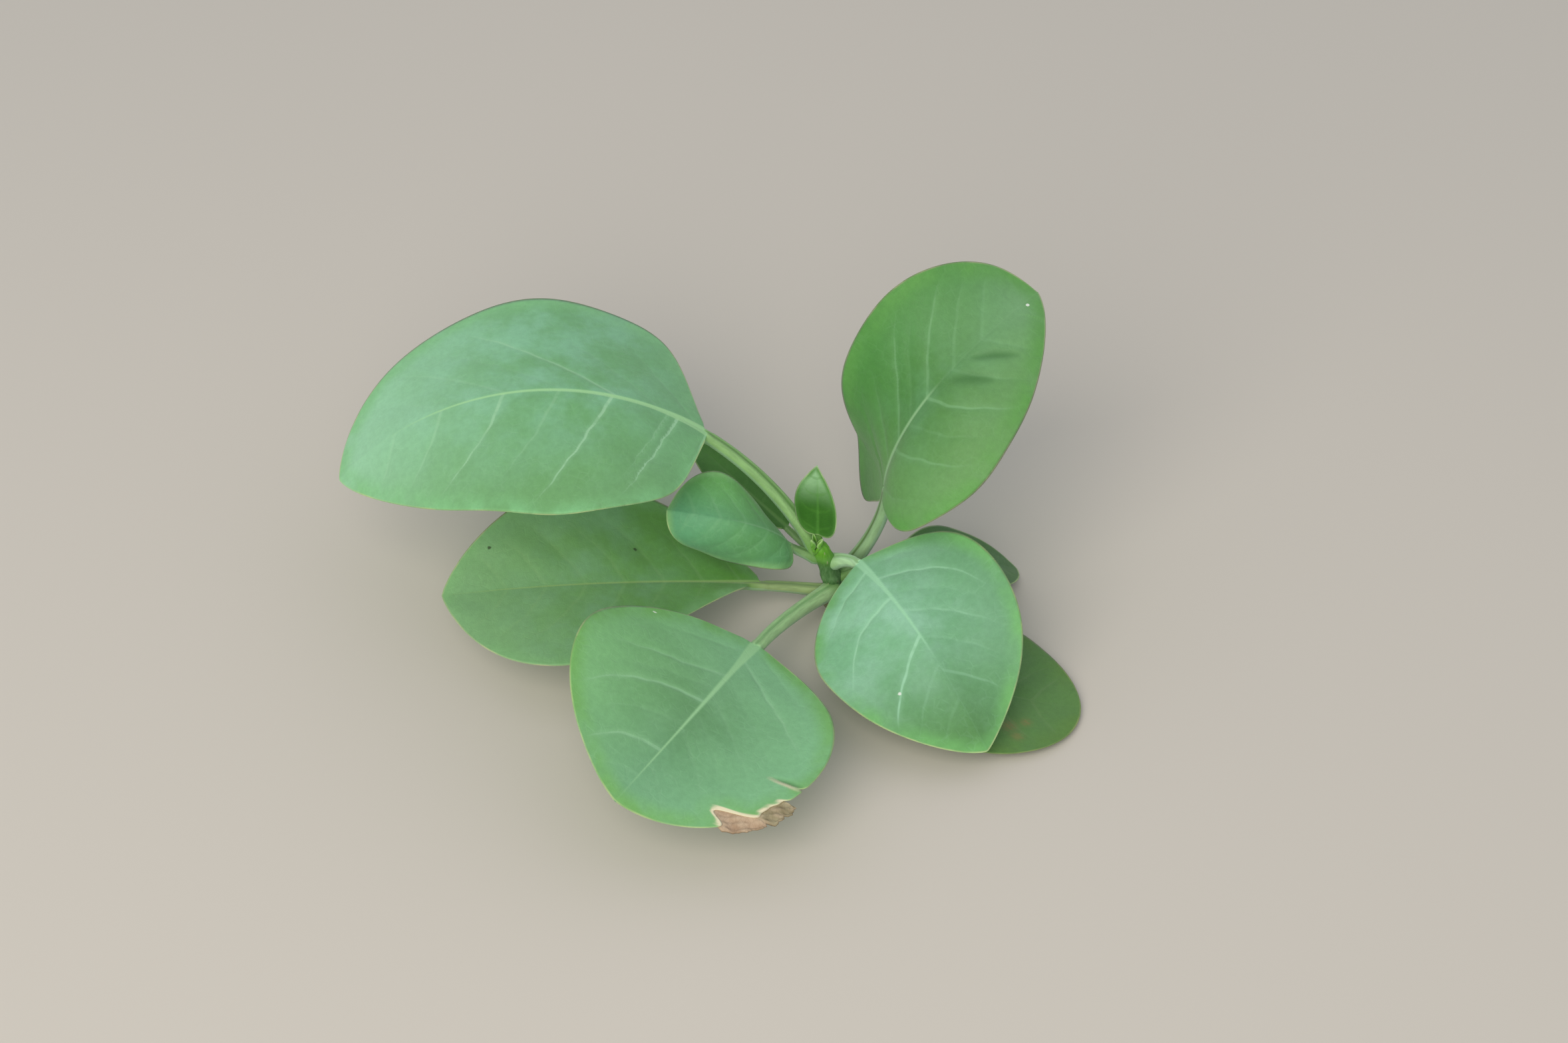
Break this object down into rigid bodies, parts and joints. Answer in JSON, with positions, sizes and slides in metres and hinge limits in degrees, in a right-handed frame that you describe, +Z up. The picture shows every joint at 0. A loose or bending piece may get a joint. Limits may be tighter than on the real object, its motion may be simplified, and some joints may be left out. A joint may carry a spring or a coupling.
{
  "type": "young tree tobacco plant",
  "caption": "Young tree tobacco plant: a short leaning stem cut flat at ground level, with broad grey-green leaves on grooved stalks and a folded bud at its top.",
  "frame": {"origin": "middle of the flat cut under the stem, at ground level", "axes": "+Z up, +X to the right and +Y away from a viewer who looks at the plant as the picture does"},
  "size_m": [0.1627, 0.1304, 0.0737],
  "materials": {
    "stem": "smooth green soft bark with leaf scars, slightly glossy",
    "stalk": "pale green fleshy leaf stalk, grooved on top, satin",
    "leaf": "grey-green waxy leaf with a pale bloom, matt, paler veins and underside",
    "young_leaf": "fresh green young leaf, satin",
    "dry_leaf": "withered brown leaf edge, dry and matt"
  },
  "bodies": {
    "root": {"stem": "stem", "lower_right_stalk": "stalk", "lower_right_blade": "leaf", "lower_left_stalk": "stalk", "lower_left_blade": "leaf", "front_stalk": "stalk", "front_blade": "leaf", "back_right_stalk": "stalk", "back_right_blade": "leaf", "back_left_stalk": "stalk", "back_left_blade": "leaf", "upper_right_stalk": "stalk", "upper_right_blade": "leaf", "right_stalk": "stalk", "right_blade": "leaf", "middle_left_stalk": "stalk", "middle_left_blade": "leaf", "upper_left_stalk": "stalk", "upper_left_blade": "leaf", "young_stalk": "stalk", "young_blade": "young_leaf", "front_dry_edge": "dry_leaf", "bud": "young_leaf"}
  },
  "joints": []
}
